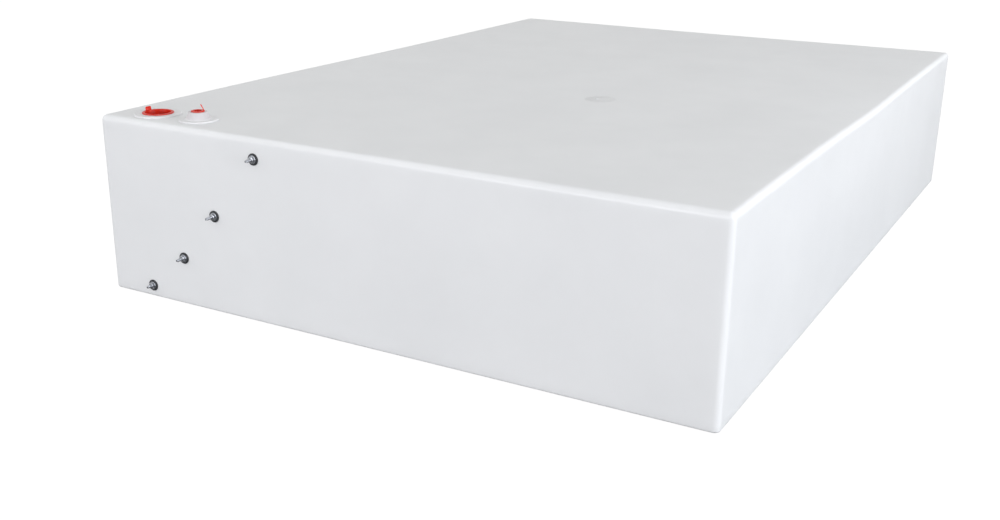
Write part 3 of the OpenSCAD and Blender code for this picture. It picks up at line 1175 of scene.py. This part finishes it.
@dataclass(frozen=True)
class LevelProbe:
    """A threaded stud held through the wall by a rubber well nut, with its washers and nut."""

    number: int
    turn: float
    stud_out: float
    wall: float = WALL
    rubber_radius: float = 8.0
    rubber_t: float = 1.8
    rubber_reach: float = 12.0
    sleeve_radius: float = 4.65
    bulge: float = 3.2
    bulge_place: float = 0.4
    bulge_sunk: float = 0.4
    bulge_turn: float = 1.15
    stud_radius: float = 2.083
    stud_root: float = 1.62
    stud_pitch: float = 0.794
    stud_tip: float = 5.0
    stud_end: float = 1.45
    stud_chamfer: float = 0.7
    insert_radius: float = 3.2
    insert_rim: float = 4.2
    insert_rim_t: float = 1.0
    insert_l: float = 6.0
    insert_bore: float = 2.15
    knurl: float = 0.12
    ridges: int = 24
    seat_gap: float = 0.1
    rubber_bore: float = 2.3
    washer_radius: float = 5.55
    washer_bore: float = 2.55
    washer_t: float = 0.8
    lock_radius: float = 3.95
    lock_bore: float = 2.3
    lock_t: float = 0.8
    split: float = 0.9
    nut_flats: float = 7.94
    nut_t: float = 2.4
    nut_bore: float = 2.14
    nut_mouth: float = 2.45
    nut_countersink: float = 0.35
    nut_face: float = 0.94
    nut_drop: float = 0.75
    nut_slope: float = 30.0

    def name(self, part: str) -> str:
        """The CAD node of one of the probe's pieces."""
        return f"probe_{self.number}_{part}"

    def seat(self) -> Seat:
        """The probe's centre on the outside of the wall, from its rubber's box."""
        low, high = cad_box(self.name("well_nut"))
        middle = (low + high) / 2
        return Seat((middle[0], low[1] + self.rubber_t, middle[2]), Facing.FRONT)

    def centre(self) -> tuple[float, float]:
        """The probe's x and z."""
        at = self.seat().at
        return at[0], at[2]

    def hand_in(self, part: str, finish: Finish, sheets: Sequence[Surface]) -> None:
        """Builds one piece at the probe's seat."""
        Piece(self.name(part), "tank", self.seat(), finish).build(sheets)

    def build(self) -> None:
        """Builds the probe's six pieces from the wall outwards."""
        for make in (self.well_nut, self.insert, self.washer, self.lock_washer, self.nut, self.stud):
            make()

    def well_nut(self) -> None:
        """The rubber: a domed flange, a sleeve through the wall and a ring squeezed out behind it."""
        end = -self.wall - self.rubber_reach
        middle = -self.wall - self.bulge_place * self.rubber_reach
        turn = np.linspace(-self.bulge_turn, self.bulge_turn, 12)
        centre = self.sleeve_radius - self.bulge_sunk * self.bulge
        swell = np.stack([centre + self.bulge * np.cos(turn), middle + self.bulge * np.sin(turn)], -1)
        pocket, inside = self.insert_radius + self.seat_gap, end + self.insert_l
        sleeve, rim, bore = self.sleeve_radius, self.rubber_radius, self.rubber_bore
        ends = filleted([(pocket, end, 0), (sleeve, end, 0.5), (sleeve, end + 2, 0)])
        front = filleted([(sleeve, 0, 0), (rim, 0, 0.3), (rim, self.rubber_t, 0.9),
                          (bore, self.rubber_t, 0.2), (bore, inside, 0), (pocket, inside, 0)])
        profile = np.concatenate([ends, swell, front])
        self.hand_in("well_nut", Finish.RUBBER, [lathe(profile, turn_angles(48))])

    def insert(self) -> None:
        """The brass insert: a knurled bush with a rim, moulded into the end of the rubber."""
        end = -self.wall - self.rubber_reach
        back, inside = end - self.insert_rim_t, end + self.insert_l
        bore, rim, bush = self.insert_bore, self.insert_rim, self.insert_radius
        outline = [(bore, back, 0.25), (rim, back, 0.3), (rim, end, 0.2), (bush, end, 0),
                   (bush, inside, 0.4), (bore, inside, 0.3)]

        def knurled(radius: Array, angle: Array, height: Array) -> tuple[Array, Array]:
            """Cuts n grooves k (1 - cos n a) / 2 into the bush, short of its ends."""
            ridged = (radius > bush - 0.2) & (height > end + 0.3) & (height < inside - 0.4)
            groove = self.knurl * (1 - np.cos(self.ridges * angle)) / 2
            return np.where(ridged, radius - groove, radius), height

        self.hand_in("insert", Finish.BRASS, [lathe(filleted(outline), turn_angles(96), swell=knurled)])

    def washer(self) -> None:
        """The flat washer, rolled over on its punched edge."""
        low, high = self.rubber_t, self.rubber_t + self.washer_t
        outline = [(self.washer_bore, low, 0.15), (self.washer_radius, low, 0.1),
                   (self.washer_radius, high, 0.4), (self.washer_bore, high, 0.2)]
        self.hand_in("washer", Finish.STEEL, [lathe(filleted(outline), turn_angles(64))])

    def lock_washer(self) -> None:
        """The split lock washer: a square wire carried most of the way round, its ends apart."""
        low = self.rubber_t + self.washer_t
        half_w, half_t = (self.lock_radius - self.lock_bore) / 2, self.lock_t / 2
        section = filleted([(i * half_w, j * half_t, 0.18)
                            for i, j in ((-1, -1), (1, -1), (1, 1), (-1, 1))], 3)
        middle = self.lock_radius - half_w
        gap = self.split / middle / 2
        ring = swept_ring(section, middle, gap, FULL_TURN - gap, 56, 0.12)
        self.hand_in("lock_washer", Finish.STEEL, [ring.moved((0, 0, low + half_t))])

    def nut(self) -> None:
        """The hex nut: the smaller of a hexagon's radius and a cone's, for chamfered corners."""
        low = self.rubber_t + self.washer_t + self.lock_t
        high = low + self.nut_t
        flat = self.nut_flats / 2
        slope = math.tan(math.radians(self.nut_slope))
        drop = np.linspace(0, self.nut_drop, 9)
        side_z = np.concatenate([low + drop, high - drop[::-1]])
        side_r = self.nut_face * flat + np.concatenate([drop, drop[::-1]]) / slope
        sink = self.nut_countersink
        bore = [(self.nut_mouth, high), (self.nut_bore, high - sink), (self.nut_bore, low + sink),
                (self.nut_mouth, low)]
        profile = np.concatenate([np.stack([side_r, side_z], -1), bore])

        def hexagon(radius: Array, angle: Array, height: Array) -> tuple[Array, Array]:
            """Holds the radius inside a / cos(angle from the middle of the flat)."""
            off = (angle % (math.pi / 3)) - math.pi / 6
            return np.minimum(radius, flat / np.cos(off)), height

        made = lathe(profile, turn_angles(120), swell=hexagon)
        cos, sin = math.cos(math.radians(self.turn)), math.sin(math.radians(self.turn))
        spin = np.array([[cos, sin, 0], [-sin, cos, 0], [0, 0, 1]])
        self.hand_in("nut", Finish.STEEL, [Surface(made.points @ spin, made.cells)])

    def stud(self) -> None:
        """The stud: one thread from end to end, chamfered and closed by flat ends."""
        low, high, end = -self.wall - self.rubber_reach - self.stud_tip, self.stud_out, self.stud_end
        thread = Thread(self.stud_radius, self.stud_root, end, self.stud_pitch, low, high,
                        self.stud_chamfer, 24)
        caps = [lathe(np.array(line), turn_angles(24), closed=False)
                for line in (((0, low), (end, low)), ((end, high), (0, high)))]
        self.hand_in("stud", Finish.STEEL, [thread.sheet(), *caps])


# ---------- studio


def axes_matrix(right: Sequence[float], up: Sequence[float], back: Sequence[float],
                at: Sequence[float]) -> Matrix:
    """The placing of something whose x, y and z axes point right, up and back."""
    return Matrix([*zip(right, up, back, at, strict=True), (0, 0, 0, 1)])


@dataclass(frozen=True)
class SoftLight:
    """A rectangular studio light aimed at a point on the tank."""

    name: str
    at: tuple[float, float, float]
    aim: tuple[float, float, float]
    size: tuple[float, float]
    power: float
    tint: tuple[float, float, float] = (1.0, 1.0, 1.0)

    def build(self) -> None:
        """Makes the light and turns it to its aim."""
        data = bpy.data.lights.new(self.name, "AREA")
        data.shape = "RECTANGLE"
        data.size, data.size_y = self.size
        data.energy, data.color = self.power, self.tint
        away = np.array(self.at, float) - np.array(self.aim, float)
        away /= np.linalg.norm(away)
        side = np.cross((0, 0, 1), away)
        side /= np.linalg.norm(side)
        new_object(self.name, data).matrix_world = axes_matrix(side, np.cross(away, side), away, self.at)


@dataclass(frozen=True)
class Studio:
    """The pale floor, the white surround, the lights and the camera."""

    lens: float = 42.152
    sensor: float = 36.0
    eye: tuple[float, float, float] = (0.80662, -1.75987, 0.59321)
    right: tuple[float, float, float] = (0.87179, 0.48973, 0.01202)
    up: tuple[float, float, float] = (-0.16808, 0.27597, 0.94636)
    sky: float = 0.565
    horizon: float = 0.88
    ground: float = 0.13
    floor_reach: float = 14.0
    floor_level: float = -0.0005
    floor_glow: float = 0.96
    floor_shade: float = 0.12
    lights: tuple[SoftLight, ...] = (
        SoftLight("right_softbox", (2.7, -0.3, 0.66), (0.45, 0.0, 0.12), (2.4, 0.9), 49.0,
                  (0.93, 0.95, 1.0)),
        SoftLight("front_softbox", (-0.3, -3.2, 0.38), (0.0, -0.6, 0.1), (2.4, 0.75), 30.0,
                  (0.96, 0.955, 1.0)),
        SoftLight("over_softbox", (-1.0, -1.15, 1.6), (-0.2, -0.6, 0.25), (2.0, 0.3), 2.2),
        SoftLight("back_softbox", (1.05, 2.2, 0.8), (0.457, 0.0, 0.25), (0.9, 0.8), 0.5),
    )

    def build(self) -> None:
        """Sets the surround, floor, lights and camera."""
        scene = bpy.context.scene
        scene.view_settings.view_transform = "Standard"
        scene.world = self.surround()
        self.floor()
        for light in self.lights:
            light.build()
        data = bpy.data.cameras.new("camera")
        data.lens, data.sensor_width = self.lens, self.sensor
        data.clip_start, data.clip_end = 0.01, 50.0
        scene.camera = new_object("camera", data)
        back = np.cross(self.right, self.up)
        scene.camera.matrix_world = axes_matrix(self.right, self.up, back, self.eye)

    def surround(self) -> bpy.types.World:
        """A white surround, brightest along the horizon and dim below it."""
        world = bpy.data.worlds.new("surround")
        s = Shader(world)
        way = s.add("SeparateXYZ", {0: s.add("TexCoord").outputs["Generated"]})
        low = s.ramp(way.outputs[2], -0.3, 0.02, self.ground, self.horizon)
        high = s.ramp(way.outputs[2], 0.15, 0.6, 0.0, self.horizon - self.sky)
        strength = s.math("SUBTRACT", low, high)
        light = s.add("Background", {"Color": colour(1.0, 1.0, 1.0), "Strength": strength})
        s.add("OutputWorld", {"Surface": light.outputs[0]})
        return world

    def floor(self) -> None:
        """A wide pale floor that glows just enough to stay white in the tank's shade."""
        mesh = bpy.data.meshes.new("floor")
        corners = [(i * self.floor_reach, j * self.floor_reach, self.floor_level)
                   for i, j in ((-1, -1), (1, -1), (1, 1), (-1, 1))]
        mesh.from_pydata(corners, [], [(0, 1, 2, 3)])
        s = Shader(bpy.data.materials.new("floor"))
        glow = s.add("Emission", {"Color": colour(1.0, 1.0, 1.0), "Strength": self.floor_glow})
        matt = s.add("BsdfDiffuse", {"Color": colour(*[self.floor_shade] * 3)})
        both = s.add("AddShader", {0: glow.outputs[0], 1: matt.outputs[0]})
        s.add("OutputMaterial", {"Surface": both.outputs[0]})
        mesh.materials.append(s.owner)
        made = new_object("floor", mesh)
        made.visible_diffuse = made.visible_glossy = made.visible_transmission = False


# ---------- the tank


@dataclass
class FreshWaterTank:
    """The whole tank, from its shell to its probes."""

    fill: PortFitting = PortFitting("fill_fitting", Facing.UP, 38.9, 2.209)
    vent: PortFitting = PortFitting("vent_fitting", Facing.UP, 14.7, 1.411, hub=10.0, taper=4.0)
    outlet: PortFitting = PortFitting("outlet_fitting", Facing.LEFT, 18.3, 1.814)
    drain: PortFitting = PortFitting("drain_fitting", Facing.LEFT, 18.3, 1.814)
    probes: tuple[LevelProbe, ...] = (LevelProbe(1, 12.0, 12.5), LevelProbe(2, 40.0, 15.0),
                                      LevelProbe(3, 25.0, 16.5), LevelProbe(4, 3.0, 15.0))
    weld_gap: float = 0.3
    probe_hole: float = 4.75
    mould_vent: Hole = field(init=False)

    def __post_init__(self) -> None:
        """Finds the mould vent from the box of its plug, whose disc is as wide as the box."""
        low, high = cad_box("mould_vent_plug")
        middle = (low + high) / 2
        self.mould_vent = Hole(Facing.UP, (float(middle[0]), float(middle[1])), radius=6.35, reach=32.0,
                               cells=8, dish_radius=23.0, dish_depth=1.0)

    def port_hole(self, port: PortFitting, reach: float) -> Hole:
        """The hole in the wall that a fitting's sleeve goes through."""
        at = port.seat().at
        centre = (at[0], at[1]) if port.facing is Facing.UP else (at[1], at[2])
        return Hole(port.facing, centre, port.bore / 2 + port.sleeve_wall + self.weld_gap, reach, 8)

    def holes(self) -> dict[str, Hole]:
        """Every hole in the shell, by name."""
        made = {"fill": self.port_hole(self.fill, 27.5), "vent": self.port_hole(self.vent, 17.0),
                "outlet": self.port_hole(self.outlet, 18.0), "drain": self.port_hole(self.drain, 18.0),
                "mould_vent": self.mould_vent}
        for probe in self.probes:
            reach = 5.6 if probe.number == 1 else 8.0
            made[f"probe_{probe.number}"] = Hole(Facing.FRONT, probe.centre(), self.probe_hole, reach, 6)
        return made

    def plugs(self) -> list[PushPlug]:
        """The four push-in plugs."""
        small = [("vent_plug", self.vent, 45.0), ("outlet_plug", self.outlet, 45.0),
                 ("drain_plug", self.drain, -45.0)]
        return [PushPlug("fill_plug", self.fill, 2.15, 15.0, PullTab(9.5, 5.5, 172.0, -8.0), notch=3.0),
                *(PushPlug(node, port, 1.8, 11.0, PullTab(6.0, 10.3, angle, 25.0))
                  for node, port, angle in small)]

    def build(self) -> None:
        """Builds every piece, from the shell outwards."""
        shell = TankShell(float(self.fill.seat().at[2]), self.holes())
        shell.build()
        for port in (self.fill, self.vent, self.outlet, self.drain):
            port.build()
        for plug in self.plugs():
            plug.build()
        MouldVentPlug(self.mould_vent).build(shell.warp)
        for probe in self.probes:
            probe.build()


def main() -> None:
    """Builds the studio and the tank."""
    logging.basicConfig(level=logging.INFO, format="%(message)s")
    Studio().build()
    FreshWaterTank().build()
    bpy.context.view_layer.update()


if __name__ == "__main__":
    main()
